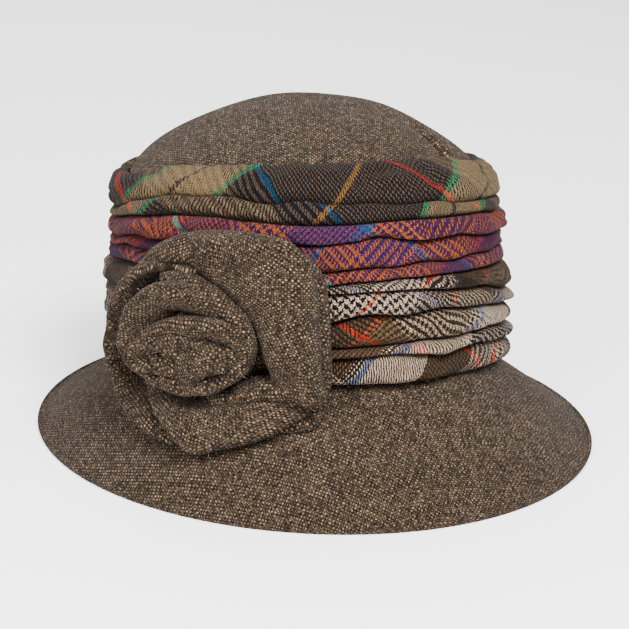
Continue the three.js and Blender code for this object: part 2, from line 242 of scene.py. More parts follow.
def weave(tree, yarn, float_length, wander):
    """Counts the yarns of a cloth. Each yarn passes over and then under float_length others."""
    cloth = tree.nodes.new("ShaderNodeUVMap")
    cloth.uv_map = "cloth"
    parts = tree.nodes.new("ShaderNodeSeparateXYZ")
    tree.links.new(cloth.outputs["UV"], parts.inputs["Vector"])
    bends = fine_noise(tree, cloth.outputs["UV"], BENDS_TO_A_YARN / yarn)
    drift = calc(tree, "MULTIPLY", bends, wander)
    across = calc(tree, "ADD", calc(tree, "DIVIDE", parts.outputs["X"], yarn), drift)
    along = calc(tree, "SUBTRACT", calc(tree, "DIVIDE", parts.outputs["Y"], yarn), drift)
    warp_number, weft_number = calc(tree, "FLOOR", across), calc(tree, "FLOOR", along)
    in_warp, in_weft = calc(tree, "FRACT", across), calc(tree, "FRACT", along)
    step = calc(tree, "FLOORED_MODULO", calc(tree, "SUBTRACT", warp_number, weft_number), 2 * float_length)
    warp_on_top = calc(tree, "LESS_THAN", step, float_length - 0.5)

    def choose(if_weft, if_warp):
        gap = calc(tree, "SUBTRACT", if_warp, if_weft)
        return calc(tree, "MULTIPLY_ADD", gap, warp_on_top, if_weft)

    over_yarn = choose(in_weft, in_warp)
    along_float = calc(tree, "ADD", step, choose(in_warp, in_weft))
    over_float = calc(tree, "FRACT", calc(tree, "DIVIDE", along_float, float_length))
    centred = calc(tree, "MULTIPLY_ADD", over_yarn, 2, -1)
    left_over = calc(tree, "SUBTRACT", YARN_EDGE, calc(tree, "MULTIPLY", centred, centred))
    roundness = calc(tree, "SQRT", calc(tree, "MAXIMUM", left_over, 0))
    arch = calc(tree, "SINE", calc(tree, "MULTIPLY", over_float, math.pi))
    arch = calc(tree, "MULTIPLY_ADD", arch, 1 - LOWEST_ARCH, LOWEST_ARCH)
    height = calc(tree, "MULTIPLY", roundness, arch)
    return {
        "map": cloth.outputs["UV"], "warp": warp_number, "weft": weft_number,
        "warp_on_top": warp_on_top, "height": height, "choose": choose,
    }


# The colour is multiplied by the square of the yarns' height: painted shade in the gaps between the yarns,
# painted light on their tops.
PAINTED_SHADE_IN_GAPS = 0.08
PAINTED_LIGHT_ON_TOPS = 1.6
HAIRS_IN_A_METRE = 5200
HAIR_RELIEF = 0.35
BUMP_STRENGTH = 0.8


def finish_cloth(tree, shader, woven, colour, depth, sheen):
    """Joins a weave's colour and height to the shader of a dull woollen cloth, painting shade into the
    colour where the yarns dip between each other.
    """
    # Painted shade: the yarns' squared height darkens the colour in the gaps between them.
    square = calc(tree, "MULTIPLY", woven["height"], woven["height"])
    light = calc(tree, "MULTIPLY_ADD", square, PAINTED_LIGHT_ON_TOPS, PAINTED_SHADE_IN_GAPS)
    hairs = fine_noise(tree, woven["map"], HAIRS_IN_A_METRE, 3.0)
    relief = calc(tree, "MULTIPLY_ADD", hairs, HAIR_RELIEF, woven["height"])
    bump = feed_all(tree, tree.nodes.new("ShaderNodeBump"), {
        "Strength": BUMP_STRENGTH, "Distance": depth, "Height": relief})
    feed_all(tree, shader, {
        "Base Color": shaded(tree, colour, light), "Normal": bump.outputs["Normal"],
        "Roughness": 0.92, "Specular IOR Level": 0.05, "Sheen Weight": sheen, "Sheen Roughness": 0.55})


print("the weave is ready")

# %% [markdown]
# ## Tweed
# Tweed is a plain weave of thick yarns, spun from beige, brown and nearly black wool. Here the warp
# is light and the weft dark, so light knots and dark ones take turns like a small chessboard. Each
# knot also differs a little, and faint darker and lighter clouds run across the cloth.

# %% Tweed material
TWEED_YARN = 1.08 * MM
TWEED_SHADES = (
    (0.0, (0.0012, 0.0008, 0.0004)),
    (0.25, (0.0054, 0.0034, 0.0019)),
    (0.5, (0.0195, 0.0124, 0.0072)),
    (0.75, (0.0490, 0.0322, 0.0196)),
    (1.0, (0.1100, 0.0755, 0.0480)),
)
TWEED_BENDS = 2.4
TWEED_RELIEF = 0.6 * MM
TWEED_SHEEN = 0.015
DARKEST = -0.26
WEFT_DRAW, WARP_DRAW = 7.5, 3.5
SHARES = {"warp": 0.28, "crossing": 0.44, "yarn": 0.12, "flecks": 0.55, "clouds": 0.24}
FLECKS_IN_A_METRE = 700
CLOUDS_IN_A_METRE = 90

tweed, tree, shader = add_material("tweed")
woven = weave(tree, TWEED_YARN, 1, TWEED_BENDS)
weft_yarn = random_value(tree, WEFT_DRAW, woven["weft"])
warp_yarn = random_value(tree, woven["warp"], WARP_DRAW)
shade_sources = {
    "warp": woven["warp_on_top"],
    "crossing": random_value(tree, woven["warp"], woven["weft"]),
    "yarn": woven["choose"](weft_yarn, warp_yarn),
    "flecks": fine_noise(tree, woven["map"], FLECKS_IN_A_METRE),
    "clouds": fine_noise(tree, woven["map"], CLOUDS_IN_A_METRE),
}
shade = DARKEST
for source, share in SHARES.items():
    shade = calc(tree, "MULTIPLY_ADD", shade_sources[source], share, shade)
tweed_colour = colour_ramp(tree, shade, TWEED_SHADES)
finish_cloth(tree, shader, woven, tweed_colour, TWEED_RELIEF, TWEED_SHEEN)
print("tweed has", len(tree.nodes), "nodes")

# %% [markdown]
# ## Plaids
# A plaid is a list of coloured stripes in the warp, and another in the weft. A stripe here is a
# number of yarns, the two colours that take turns in it, and after how many yarns they do so again.
# Turns of six or eight yarns in both lists give a houndstooth, and turns of four give small dots. In
# the photograph the cloths are cut on the bias, so their stripes cross the bands at a slant.
# Each list is a traditional kind of check, with its repeat as long as a third of the way round.

# %% Colours and stripes
PLAID_YARN = 0.52 * MM
REPEAT_YARNS = 270
REPEATS_ROUND = 3

BEIGE = (0.0823, 0.0563, 0.0269)
TAN = (0.0459, 0.0275, 0.0137)
NAVY = (0.0022, 0.0019, 0.004)
INK = (0.0013, 0.0012, 0.0015)
GREEN = (0.0008, 0.0714, 0.0269)
TEAL = (0.0017, 0.0252, 0.0521)
OCHRE = (0.0882, 0.0378, 0.005)
VERMILION = (0.1848, 0.0092, 0.0017)
ORANGE = (0.126, 0.0286, 0.0042)
PURPLE = (0.0101, 0.0022, 0.0218)
LILAC = (0.0454, 0.0134, 0.0252)
MAROON = (0.0319, 0.0046, 0.005)
TURQUOISE = (0.0067, 0.126, 0.1092)
BLUE = (0.0034, 0.0202, 0.063)
CRIMSON = (0.1008, 0.0017, 0.0084)
BROWN = (0.0114, 0.0055, 0.0022)
COFFEE = (0.0035, 0.0018, 0.001)
CREAM = (0.1806, 0.1344, 0.0991)
SKY = (0.0437, 0.0588, 0.105)

UPPER_WARP = (
    (5, TEAL, TEAL, 4), (70, NAVY, TAN, 4), (66, TAN, NAVY, 4), (4, VERMILION, VERMILION, 4),
    (25, NAVY, TAN, 4), (65, BEIGE, TAN, 8), (35, TAN, NAVY, 8),
)
UPPER_WEFT = (
    (6, GREEN, GREEN, 4), (84, NAVY, INK, 4), (6, OCHRE, OCHRE, 4), (104, NAVY, INK, 4),
    (6, GREEN, GREEN, 4), (30, BEIGE, BEIGE, 4), (8, NAVY, BEIGE, 8), (26, BEIGE, BEIGE, 4),
)
MIDDLE_WARP = (
    (34, ORANGE, PURPLE, 8), (38, PURPLE, LILAC, 4), (5, BLUE, BLUE, 4), (26, ORANGE, PURPLE, 8),
    (22, MAROON, PURPLE, 8), (40, MAROON, PURPLE, 4), (51, PURPLE, ORANGE, 8),
    (5, TURQUOISE, TURQUOISE, 4), (49, ORANGE, PURPLE, 4),
)
MIDDLE_WEFT = (
    (30, ORANGE, PURPLE, 4), (44, PURPLE, ORANGE, 8), (30, ORANGE, PURPLE, 4), (6, BLUE, BLUE, 4),
    (44, PURPLE, LILAC, 4), (50, ORANGE, PURPLE, 8), (38, MAROON, PURPLE, 4), (4, CRIMSON, CRIMSON, 4),
    (24, MAROON, ORANGE, 4),
)
LOWER_WARP = (
    (30, COFFEE, BROWN, 4), (95, BROWN, TAN, 4), (5, VERMILION, VERMILION, 4), (22, BROWN, TAN, 4),
    (62, CREAM, COFFEE, 6), (5, SKY, CREAM, 4), (51, CREAM, COFFEE, 4),
)
LOWER_WEFT = (
    (48, COFFEE, BROWN, 4), (49, CREAM, CREAM, 4), (6, SKY, SKY, 4), (8, CREAM, COFFEE, 4),
    (56, BROWN, TAN, 4), (5, VERMILION, BROWN, 4), (33, BROWN, COFFEE, 4), (24, CREAM, COFFEE, 6),
    (4, VERMILION, VERMILION, 4), (37, CREAM, COFFEE, 6),
)
print("yarns in a repeat:", [sum(stripe[0] for stripe in stripes) for stripes in (
    UPPER_WARP, UPPER_WEFT, MIDDLE_WARP, MIDDLE_WEFT, LOWER_WARP, LOWER_WEFT)])

# %% Plaid materials
LONGEST_TURN = 16
PLAID_BENDS = 2.5
PLAID_RELIEF = 0.3 * MM
PLAID_SHEEN = 0.01
WEAR = {"least": 0.35, "crossing": 0.7, "flecks": 0.7}
PLAID_FLECKS_IN_A_METRE = 900


def stripe_colour(tree, number, stripes, start):
    """The colour of a yarn by its number, from a list of stripes."""
    count = sum(stripe[0] for stripe in stripes)
    place = calc(tree, "FLOORED_MODULO", calc(tree, "ADD", number, start), count)
    position = calc(tree, "DIVIDE", calc(tree, "ADD", place, 0.5), count)
    edges = np.cumsum([0] + [stripe[0] for stripe in stripes])[:-1] / count
    columns = zip(*[(first, second, (turn / LONGEST_TURN,) * 3) for _, first, second, turn in stripes])
    first, second, turn_share = (
        colour_ramp(tree, position, list(zip(edges, column)), stepped=True) for column in columns)
    turn = calc(tree, "MULTIPLY", turn_share, LONGEST_TURN)
    in_turn = calc(tree, "FLOORED_MODULO", calc(tree, "ADD", number, 0.5), turn)
    in_first_half = calc(tree, "LESS_THAN", calc(tree, "DIVIDE", in_turn, turn), 0.5)
    return mix_colours(tree, in_first_half, first, second)


def plaid(name, warp, weft, warp_start, weft_start):
    """A twill of two lists of stripes."""
    material, tree, shader = add_material(name)
    woven = weave(tree, PLAID_YARN, 2, PLAID_BENDS)
    warp_colour = stripe_colour(tree, woven["warp"], warp, warp_start)
    weft_colour = stripe_colour(tree, woven["weft"], weft, weft_start)
    colour = mix_colours(tree, woven["warp_on_top"], weft_colour, warp_colour)
    crossing = random_value(tree, woven["warp"], woven["weft"])
    flecks = fine_noise(tree, woven["map"], PLAID_FLECKS_IN_A_METRE)
    worn = calc(tree, "MULTIPLY_ADD", crossing, WEAR["crossing"], WEAR["least"])
    worn = calc(tree, "MULTIPLY_ADD", flecks, WEAR["flecks"], worn)
    finish_cloth(tree, shader, woven, shaded(tree, colour, worn), PLAID_RELIEF, PLAID_SHEEN)
    print(name, "has", len(tree.nodes), "nodes")
    return material


plaid_lower = plaid("brown and cream plaid", LOWER_WARP, LOWER_WEFT, 40, 45)
plaid_middle = plaid("orange and purple plaid", MIDDLE_WARP, MIDDLE_WEFT, 0, 0)
plaid_upper = plaid("beige and navy plaid", UPPER_WARP, UPPER_WEFT, 51, 19)

# %% [markdown]
# ## Grids of points that become cloth
# Every piece is a grid of points on a surface, made solid by a second grid at its back. The helpers
# below read the hat's tables as smooth curves, place points on the crown and close two grids into
# one mesh. Sizes are in millimetres, as in the solid model, and the mesh is scaled at the end.

# %% Smooth tables
FULL_TURN = 360.0


def hermite(keys, values, row, at):
    """A smooth curve through the values, read between keys row and row + 1."""
    span = keys[row + 1] - keys[row]
    share = (at - keys[row]) / span
    start_slope = (values[row + 1] - values[row - 1]) / (keys[row + 1] - keys[row - 1])
    end_slope = (values[row + 2] - values[row]) / (keys[row + 2] - keys[row])
    cube, square = share ** 3, share ** 2
    return (
        (2 * cube - 3 * square + 1) * values[row] + (cube - 2 * square + share) * span * start_slope
        + (3 * square - 2 * cube) * values[row + 1] + (cube - square) * span * end_slope
    )


def read_round(keys, column, at):
    """A column of a table whose rows go once round."""
    keys, column = np.array(keys, float), np.array(column, float)
    laps = np.arange(-2, len(keys) + 3)
    all_keys = keys[laps % len(keys)] + FULL_TURN * (laps // len(keys))
    all_values = column[laps % len(keys)]
    place = keys[0] + np.mod(np.asarray(at, float) - keys[0], FULL_TURN)
    row = np.clip(np.searchsorted(all_keys, place, side="right") - 1, 1, len(all_keys) - 3)
    return hermite(all_keys, all_values, row, place)


def read_along(keys, column, at):
    """A column of a table with two ends."""
    keys = np.array([keys[0] - 1, *keys, keys[-1] + 1], float)
    values = np.array([column[0], *column, column[-1]], float)
    row = np.clip(np.searchsorted(keys, at, side="right") - 1, 1, len(keys) - 3)
    return hermite(keys, values, row, at)


def through(points, count):
    """A smooth path through a few points, with its samples evenly spaced."""
    points = np.array(points, float)
    steps = np.linalg.norm(np.diff(points[:, :2], axis=0), axis=1)
    keys = np.concatenate([[0], np.cumsum(steps)])
    at = np.linspace(0, keys[-1], count)
    return np.stack([read_along(keys, column, at) for column in points.T], axis=-1)


RIPPLE_WAVES = 7
RIPPLE_SPREAD = (0.7, 1.5)
RIPPLE_SUM = 3.2


def ripple(x, y, length, seed):
    """Soft unevenness between about -1 and 1, with waves about as long as length."""
    rng = np.random.default_rng(seed)
    total = np.zeros(np.broadcast(x, y).shape)
    for _ in range(RIPPLE_WAVES):
        heading = rng.uniform(0, 2 * math.pi)
        wave = 2 * math.pi / (length * rng.uniform(*RIPPLE_SPREAD))
        phase = rng.uniform(0, 2 * math.pi)
        total += np.sin(wave * (x * math.cos(heading) + y * math.sin(heading)) + phase)
    return total / RIPPLE_SUM


print("a table read at its own rows:", read_along([0, 1, 2], [5, 7, 6], np.array([0.0, 1.0, 2.0])))

# %% Two grids into one mesh
TINY = 1e-6
NEVER_ZERO = 1e-9


def normals_of(grid, round_about):
    """Directions square to a grid of points."""
    if round_about:
        along = np.roll(grid, -1, axis=1) - np.roll(grid, 1, axis=1)
    else:
        along = np.gradient(grid, axis=1)
    normal = np.cross(np.gradient(grid, axis=0), along)
    return normal / np.maximum(np.linalg.norm(normal, axis=-1, keepdims=True), NEVER_ZERO)


def lengths(grid, axis):
    """How far along the grid each point lies, following its surface."""
    step = np.linalg.norm(np.diff(grid, axis=axis), axis=-1)
    start = np.zeros_like(np.take(step, [0], axis=axis))
    return np.concatenate([start, np.cumsum(step, axis=axis)], axis=axis)


def cloth_mesh(name, front, back, front_map, round_about, material, closed_top=False):
    """A closed wall between two grids in millimetres, with the cloth's map in metres."""
    rows, columns = front.shape[:2]
    cells = columns if round_about else columns - 1
    r, c = (part.ravel() for part in np.meshgrid(np.arange(rows - 1), np.arange(cells), indexing="ij"))
    square = [(r, c), (r, c + 1), (r + 1, c + 1), (r + 1, c)]
    corners = [[(0 * row, row, column) for row, column in square],
               [(0 * row + 1, row, column) for row, column in square[::-1]]]
    edge = np.arange(cells)
    for row, closes in ((0, True), (rows - 1, not closed_top)):
        if closes:
            at = np.full(cells, row)
            strip = [(0 * edge, at, edge), (0 * edge + 1, at, edge),
                     (0 * edge + 1, at, edge + 1), (0 * edge, at, edge + 1)]
            corners.append(strip if row == 0 else strip[::-1])
    if not round_about:
        edge = np.arange(rows - 1)
        for column in (0, columns - 1):
            at = np.full(rows - 1, column)
            strip = [(0 * edge, edge, at), (0 * edge, edge + 1, at),
                     (0 * edge + 1, edge + 1, at), (0 * edge + 1, edge, at)]
            corners.append(strip if column == 0 else strip[::-1])
    side, row, column = (
        np.concatenate([np.stack([corner[part] for corner in face], axis=-1) for face in corners])
        for part in range(3)
    )
    points = np.stack([front, back]).reshape(-1, 3) * MM
    faces = side * rows * columns + row * columns + column % columns
    a, b, d = points[faces[:, 0]], points[faces[:, 1]], points[faces[:, 2]]
    if np.einsum("ij,ij->i", a, np.cross(b, d)).sum() < 0:
        faces, row, column = faces[:, ::-1], row[:, ::-1], column[:, ::-1]

    mesh = bpy.data.meshes.new(name)
    mesh.from_pydata(points.tolist(), [], faces.tolist())
    layer = mesh.uv_layers.new(name="cloth")
    layer.data.foreach_set("uv", front_map[row, column].reshape(-1).astype(np.float32))
    mesh.polygons.foreach_set("use_smooth", np.ones(len(faces), bool))
    mesh.materials.append(material)
    if closed_top:
        work = bmesh.new()
        work.from_mesh(mesh)
        bmesh.ops.remove_doubles(work, verts=work.verts, dist=TINY)
        work.to_mesh(mesh)
        work.free()
    area = sum(polygon.area for polygon in mesh.polygons) / 2
    print(name, len(mesh.polygons), "faces, one side", round(area * 1e4, 1), "square cm")
    return add_object(name, mesh)


def turned(x, y, degrees):
    """A map of the cloth turned about its middle."""
    cosine, sine = math.cos(math.radians(degrees)), math.sin(math.radians(degrees))
    return np.stack([x * cosine + y * sine, y * cosine - x * sine], axis=-1)


print("cloth_mesh is ready")

# %% [markdown]
# ## The crown's form
# The crown is an oval tube up to its shoulder and a dome above, leaning a little forwards. One
# formula places a point in any direction, at any height and any distance out from the cloth. All
# other pieces rest on it, so they use the same formula.

# %% Points on the crown
CROWN_HALF_WIDTH = 84
CROWN_HALF_LENGTH = 100
CROWN_SET_BACK = 7
SHOULDER_HEIGHT = 116
DOME_RISE = 44.5
DOME_FULLNESS = 1.4
CROWN_LEAN = 8.5
SEAM_FRONT_HEIGHT = 48
SEAM_BACK_HEIGHT = 19
BAND_WIDTHS = {"lower": 48.8, "middle": 24, "upper": 22}

LINES = {
    "direction": (-180, -145, -110, -85, -60, -30, 0, 30, 60, 105, 145),
    "seam": (0.0, 0.1, 0.36, 0.6, 0.86, 1.06, 1.02, 0.9, 0.59, 0.3, 0.1),
    "lower": (1.08, 1.12, 1.09, 1.1, 1.02, 0.92, 1.0, 0.97, 1.0, 1.05, 1.09),
    "middle": (0.98, 0.92, 0.84, 0.96, 1.08, 1.06, 0.96, 1.04, 1.08, 1.0, 0.98),
    "upper": (1.0, 0.94, 0.9, 0.94, 0.88, 1.0, 1.0, 1.02, 0.9, 0.88, 0.98),
}


def on_crown(direction, height, out):
    """Points at a distance out from the crown's outer face."""
    direction, height, out = np.broadcast_arrays(direction, height, out)
    climb = np.clip((height - SHOULDER_HEIGHT) / DOME_RISE, 0, 1)
    share = np.sqrt(1 - climb ** DOME_FULLNESS)
    x = CROWN_HALF_WIDTH * share * np.sin(np.radians(direction))
    y = -CROWN_HALF_LENGTH * share * np.cos(np.radians(direction))
    slope = np.stack([
        2 * x / CROWN_HALF_WIDTH ** 2,
        2 * y / CROWN_HALF_LENGTH ** 2,
        DOME_FULLNESS * climb ** (DOME_FULLNESS - 1) / DOME_RISE,
    ], axis=-1)
    slope /= np.linalg.norm(slope, axis=-1, keepdims=True)
    middle = CROWN_SET_BACK - CROWN_LEAN * climb
    return np.stack([x, y + middle, height], axis=-1) + out[..., None] * slope


def seam_height(direction):
    """The height of the line where the crown is sewn to the brim."""
    share = read_round(LINES["direction"], LINES["seam"], direction)
    return SEAM_BACK_HEIGHT + (SEAM_FRONT_HEIGHT - SEAM_BACK_HEIGHT) * share


def band_edge(direction, count):
    """The height of the seam, or of the top edge of one of the three bands above it."""
    height = seam_height(direction)
    for name in list(BAND_WIDTHS)[:count]:
        height = height + BAND_WIDTHS[name] * read_round(LINES["direction"], LINES[name], direction)
    return height


print("edges at the front:", [round(float(band_edge(0, count)), 1) for count in range(4)])

# %% [markdown]
# ## Crown
# The crown is one deep cap of tweed. Its grain runs straight across the front, so the map lays the
# dome out flat from its top. The cloth is not drum tight: it has soft dents, and on the wearer's
# left a short tuck runs down to the bands.

# %% Crown of tweed
CROWN_WALL = 2.0
CROWN_COLUMNS = 360
WALL_ROWS = 14
DOME_ROWS = 100
DENT_DEPTH = 0.7
DENT_LENGTH = 46
DENTS_FADE = 0.3
TUCK_LINE = ((62.0, 150.6), (55.0, 149.4), (49.0, 147.6), (44.5, 144.3), (41.5, 139.5))
TUCK_WIDTH = 1.9
TUCK_DEPTH = 3.6
TUCK_TOP = 152
TUCK_FADES_OVER = 8
TUCK_RIDGE = 2.0
RIDGE_DISTANCE = 4.2
RIDGE_WIDTH = 2.4

directions = np.arange(CROWN_COLUMNS) * FULL_TURN / CROWN_COLUMNS
seam = seam_height(directions)
wall_share = np.linspace(0, 1, WALL_ROWS, endpoint=False)[:, None]
wall_heights = seam + (SHOULDER_HEIGHT - seam) * wall_share
dome_angle = np.linspace(0, math.pi / 2, DOME_ROWS)[:, None]
dome_heights = SHOULDER_HEIGHT + DOME_RISE * np.sin(dome_angle) + 0 * seam
heights = np.concatenate([wall_heights, dome_heights])
flat_crown = on_crown(directions, heights, 0.0)
up_dome = np.clip((heights - SHOULDER_HEIGHT) / DOME_RISE, 0, 1)
fading = np.cos(up_dome * math.pi / 2) ** DENTS_FADE
crown_x, crown_y, crown_z = np.moveaxis(flat_crown, -1, 0)
unevenness = DENT_DEPTH * ripple(crown_x, crown_y + crown_z, DENT_LENGTH, 3)


def beside_line(points, corners):
    """How far points lie from a bent line, counted as positive on its right and negative on its left."""
    nearest = np.full(points.shape[:-1], np.inf)
    sided = nearest.copy()
    for start, end in zip(corners, corners[1:]):
        line = end - start
        share = np.clip(((points - start) @ line) / (line @ line), 0, 1)
        away = points - start - share[..., None] * line
        distance = np.linalg.norm(away, axis=-1)
        right = np.where(line[0] * away[..., 1] - line[1] * away[..., 0] > 0, 1, -1)
        sided = np.where(distance < nearest, distance * right, sided)
        nearest = np.minimum(nearest, distance)
    return sided


tuck_corners = [on_crown(np.array(d), np.array(h), np.array(0.0)) for d, h in TUCK_LINE]
from_tuck = beside_line(flat_crown, tuck_corners)
tuck = TUCK_DEPTH * np.exp(-(from_tuck / TUCK_WIDTH) ** 2)
tuck -= TUCK_RIDGE * np.exp(-((from_tuck - RIDGE_DISTANCE) / RIDGE_WIDTH) ** 2)
tuck *= np.clip((TUCK_TOP - heights) / TUCK_FADES_OVER, 0, 1)
crown_out = unevenness * fading - tuck
outer = on_crown(directions, heights, crown_out)
inner = on_crown(directions, heights, crown_out - CROWN_WALL)
from_top = lengths(outer[::-1], 0)[::-1]
turn = np.radians(directions - VIEW_AZIMUTH)
turn = np.append(turn, turn[0] + 2 * math.pi)
from_top = np.concatenate([from_top, from_top[:, :1]], axis=1)
crown_map = np.stack([from_top * np.sin(turn), -from_top * np.cos(turn)], axis=-1) * MM
crown = cloth_mesh("crown_cloth", outer, inner, crown_map, True, tweed, closed_top=True)

# %% [markdown]
# ## Brim
# The brim is a second ring of tweed that slopes down all round. It is cut as a flat ring and sewn
# into a cone, so its map is that cone laid flat, with a seam at the back. Its edge is turned under
# and lies on the floor.

# %% Brim of tweed
BRIM_HALF_WIDTH = 131
BRIM_HALF_LENGTH = 152
BRIM_EDGE_WIDTH = 2.8
SEWN_GAP = 0.3
BRIM_ROWS = {"across": (0, 0.12, 0.32, 0.54, 0.78, 1.0), "drop": (0, 0.08, 0.26, 0.49, 0.76, 1.0)}
SWELL_DEPTH = 0.9
SWELL_LENGTH = 70
SWELL_FADES = 0.6
EDGE_ROLL = ((0.0, 1.0), (0.25, 0.35), (0.9, 0.0))
BRIM_COLUMNS = 320
BRIM_STEPS = 44
CONE_FLATNESS = 0.76

directions = -180 + np.arange(BRIM_COLUMNS) * FULL_TURN / BRIM_COLUMNS
top = seam_height(directions) - SEWN_GAP
seam_line = on_crown(directions, top, 0.0)
edge_line = np.stack([
    BRIM_HALF_WIDTH * np.sin(np.radians(directions)),
    -BRIM_HALF_LENGTH * np.cos(np.radians(directions)),
    0 * directions,
], axis=-1)
inwards = -(seam_line - [0, CROWN_SET_BACK, 0]) * [1, 1, 0]
inwards /= np.linalg.norm(inwards, axis=-1, keepdims=True)
across = np.linspace(0, 1, BRIM_STEPS)[:, None]
drop = read_along(BRIM_ROWS["across"], BRIM_ROWS["drop"], across)
brim_outer = seam_line + (edge_line - seam_line) * across[..., None]
brim_outer[..., 2] = top * (1 - drop)
calm = np.sin(math.pi * across) ** SWELL_FADES
swell = SWELL_DEPTH * ripple(brim_outer[..., 0], brim_outer[..., 1], SWELL_LENGTH, 11) * calm
brim_outer -= inwards * swell[..., None]
brim_outer[-1, :, 2] = EDGE_ROLL[0][1]
rolled = [edge_line + inwards * into + [0, 0, up] for into, up in EDGE_ROLL[1:]]
brim_inner = brim_outer + inwards * BRIM_EDGE_WIDTH
rolled_in = [edge_line + inwards * (BRIM_EDGE_WIDTH - into) + [0, 0, up] for into, up in EDGE_ROLL[1:]]
brim_outer = np.concatenate([brim_outer, rolled])
brim_inner = np.concatenate([brim_inner, rolled_in])

seam_radius = np.linalg.norm(seam_line[:, :2], axis=-1)
flat_radius = seam_radius / CONE_FLATNESS + lengths(brim_outer, 0)
flat_radius = np.concatenate([flat_radius, flat_radius[:, :1]], axis=1)
flat_turn = np.radians(np.append(directions, 180.0)) * CONE_FLATNESS
brim_map = np.stack([flat_radius * np.sin(flat_turn), -flat_radius * np.cos(flat_turn)], axis=-1) * MM
brim = cloth_mesh("brim_cloth", brim_outer, brim_inner, brim_map, True, tweed)

# %% [markdown]
# ## Gathered bands
# Three strips of plaid are cut on the bias, pleated lengthways and wound about the crown. Seen from
# the side each pleat is a soft roll: it springs out of a deep crease, bulges and falls back into
# the next one. The strips are eased to fit, so the rolls wander, swell and pucker.
# The tables say where the pleats start and how far they stand out, as in the solid model, and the
# section of one pleat is drawn finer here. Each pleat has a base as a share of the band's width, the
# sway of that line, the number of its waves and the direction that they peak in, the share of the
# band's depth that it stands out, and how much of that it loses where the band is pulled tight.

# %% Shape of the pleats
BAND_GAP = 0.5
TIGHTEST_DIRECTION = 65
BAND_DEPTHS = {"lower": 11.5, "middle": 9, "upper": 6.5}
FOLDS = {
    "lower": (
        (0.0, 0.0, 1, 0, 0.88, 0.0),
        (0.26, 0.03, 2, -10, 0.98, 0.0),
        (0.4, 0.02, 3, 30, 1.0, 0.08),
        (0.63, 0.06, 3, 5, 0.98, 0.06),
        (0.84, 0.1, 2, -20, 1.0, 0.1),
    ),
    "middle": (
        (0.0, 0.0, 1, 0, 0.96, 0.2),
        (0.3, 0.07, 2, 80, 0.9, 0.25),
        (0.66, 0.12, 2, -15, 1.0, 0.2),
    ),
    "upper": (
        (0.0, 0.0, 1, 0, 0.94, 0.3),
        (0.3, 0.08, 2, -40, 1.0, 0.0),
    ),
}
PLEAT = {
    "step": (0.0, 0.03, 0.1, 0.22, 0.42, 0.65, 0.84, 0.95, 1.0),
    "out": (0.16, 0.5, 0.8, 0.96, 1.0, 0.95, 0.8, 0.52, 0.16),
}
BAND_COLUMNS = 460
PLEAT_STEPS = 20
HIDDEN_CLOTH = 11.0
CREASE_WANDER = {"lower": 0.022, "middle": 0.035, "upper": 0.04}
WANDER_LENGTH = 38
SWELLING = 0.1
SWELLING_LENGTH = 55
PATCH_LENGTH = 45
PATCH_CONTRAST = 0.8
PUCKER = 1.15
PUCKER_LENGTH = 8
CROSS_PUCKER_LENGTH = 9
LONG_WAVE = 0.8
LONG_WAVE_LENGTH = 60
THINNEST = 0.2


def band_grids(name, level):
    """The outer and inner face of a band, and how far along the cloth each row of points lies."""
    directions = -180 + np.arange(BAND_COLUMNS) * FULL_TURN / BAND_COLUMNS
    bottom = band_edge(directions, level) + SEWN_GAP / 2
    top = band_edge(directions, level + 1) - SEWN_GAP / 2
    depth, folds = BAND_DEPTHS[name], FOLDS[name]
    tightness = np.maximum(0, np.cos(np.radians(directions - TIGHTEST_DIRECTION)))
    bases = [base + sway * np.cos(np.radians(waves * (directions - towards)))
             for base, sway, waves, towards, _, _ in folds] + [np.ones_like(directions)]
    around = np.radians(directions) * (CROWN_HALF_WIDTH + CROWN_HALF_LENGTH) / 2
    for index in range(1, len(folds)):
        wander = ripple(around, 0 * around, WANDER_LENGTH, 10 * level + index)
        bases[index] = bases[index] + CREASE_WANDER[name] * wander
    step = 0.5 - 0.5 * np.cos(np.linspace(0, math.pi, PLEAT_STEPS))
    out_share = read_along(PLEAT["step"], PLEAT["out"], step)
    shares, outs, tucked = [], [], []
    for index, (*_, fold_depth, slack) in enumerate(folds):
        swelling = ripple(around, 0 * around, SWELLING_LENGTH, 60 + 10 * level + index)
        size = (depth - BAND_GAP) * fold_depth * (1 - slack * tightness) * (1 + SWELLING * swelling)
        rows = slice(0, None) if index == 0 else slice(1, None)
        shares.append(bases[index] + np.outer(step, bases[index + 1] - bases[index])[rows])
        outs.append(np.outer(out_share, size)[rows])
        tucked += [index * HIDDEN_CLOTH] * len(step[rows])
    share, out = np.concatenate(shares), np.concatenate(outs)
    up = bottom + (top - bottom) * share
    lifted = np.clip(out / depth, 0, 1)
    patches = np.clip(0.5 + PATCH_CONTRAST * ripple(around, up, PATCH_LENGTH, 30 + level), 0, 1)
    pucker = ripple(around * 0.3 + up * 0.5, up * 1.5, PUCKER_LENGTH, 20 + level)
    cross_pucker = ripple(around * 0.45 - up * 0.6, up * 1.4, CROSS_PUCKER_LENGTH, 50 + level)
    long_wave = ripple(around, up * 0.6, LONG_WAVE_LENGTH, 40 + level)
    out = out + PUCKER * lifted * (patches * pucker + (1 - patches) * cross_pucker)
    out = out + LONG_WAVE * lifted * long_wave
    outer = on_crown(directions, up, BAND_GAP + np.maximum(out, THINNEST))
    inner = on_crown(directions, up, BAND_GAP)
    return outer, inner, np.array(tucked), directions


print("pleats:", {name: len(folds) for name, folds in FOLDS.items()})

# %% Bands of plaid
BIAS = 45
SLOW_PULL = 5.0
QUICK_PULL = 7.0


